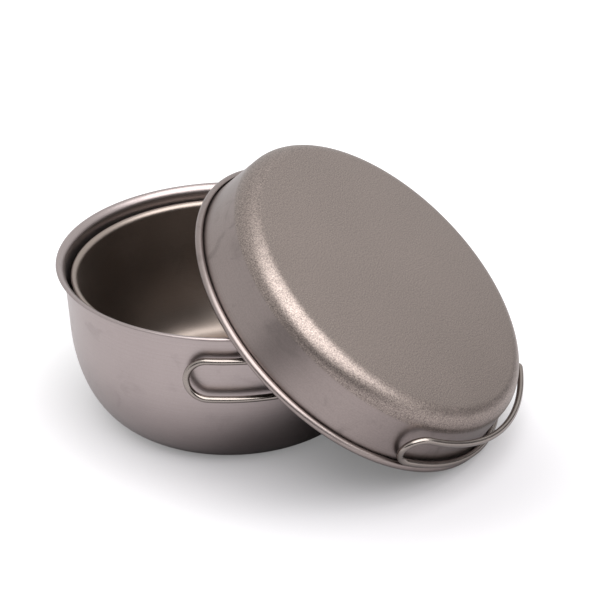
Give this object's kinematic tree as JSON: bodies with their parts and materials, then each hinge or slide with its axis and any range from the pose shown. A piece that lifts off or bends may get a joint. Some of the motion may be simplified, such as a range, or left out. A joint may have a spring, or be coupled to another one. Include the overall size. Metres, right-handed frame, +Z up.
{
  "type": "cooking pot set",
  "caption": "Nesting camp cook set: a round-bottomed pot holds a smaller pot, and a shallow frying pan leans upside down on their rims. Wire loop handles fold against the walls.",
  "frame": {"origin": "middle of the outer pot's base, on the table", "axes": "+Z up along the pots' axis, +X the way the pan leans down to the table"},
  "size_m": [0.2186, 0.1705, 0.1226],
  "materials": {
    "pot_sheet": "satin titanium sheet, warm grey",
    "inner_sheet": "satin titanium sheet, warm grey",
    "pan_sheet": "titanium sheet, bead-blasted base and satin wall",
    "hinge_plate": "bare folded titanium plate",
    "wire": "bright drawn titanium wire"
  },
  "bodies": {
    "pot": {"outer_pot": "pot_sheet", "pot_hinge_plate": "hinge_plate"},
    "inner_pot": {"inner_pot": "inner_sheet"},
    "pan": {"frying_pan": "pan_sheet", "pan_hinge_plate": "hinge_plate"},
    "pot_handle_front": {"pot_handle_front": "wire"},
    "pot_handle_rear": {"pot_handle_rear": "wire"},
    "pan_handle_front": {"pan_handle_front": "wire"},
    "pan_handle_rear": {"pan_handle_rear": "wire"}
  },
  "joints": [
    {"name": "pan_lift", "type": "slide", "parent": "pot", "child": "pan", "axis": [0.6211, 0, 0.7837], "range_m": [0, 0.16]},
    {"name": "inner_pot_lift", "type": "slide", "parent": "pot", "child": "inner_pot", "axis": [0, 0, 1], "range_m": [0, 0.08]},
    {"name": "pot_handle_front_swing", "type": "hinge", "parent": "pot", "child": "pot_handle_front", "pos_m": [0.07917, 0.00184, 0.0535], "axis": [0, 0, 1], "range_deg": [0, 115]},
    {"name": "pot_handle_rear_swing", "type": "hinge", "parent": "pot", "child": "pot_handle_rear", "pos_m": [0.07761, 0.01575, 0.0535], "axis": [0, 0, -1], "range_deg": [0, 115]},
    {"name": "pan_handle_front_swing", "type": "hinge", "parent": "pan", "child": "pan_handle_front", "pos_m": [0.12628, 0.03444, 0.01516], "axis": [0.6211, 0, 0.7837], "range_deg": [0, 115]},
    {"name": "pan_handle_rear_swing", "type": "hinge", "parent": "pan", "child": "pan_handle_rear", "pos_m": [0.12096, 0.04668, 0.01937], "axis": [-0.6211, 0, -0.7837], "range_deg": [0, 115]}
  ],
  "couplings": [
    {"joint": "inner_pot_lift", "follows": "pan_lift", "ratio": 0.5},
    {"joint": "pot_handle_front_swing", "follows": "pan_lift", "rad_per_m": 12.544},
    {"joint": "pot_handle_rear_swing", "follows": "pan_lift", "rad_per_m": 12.544}
  ]
}
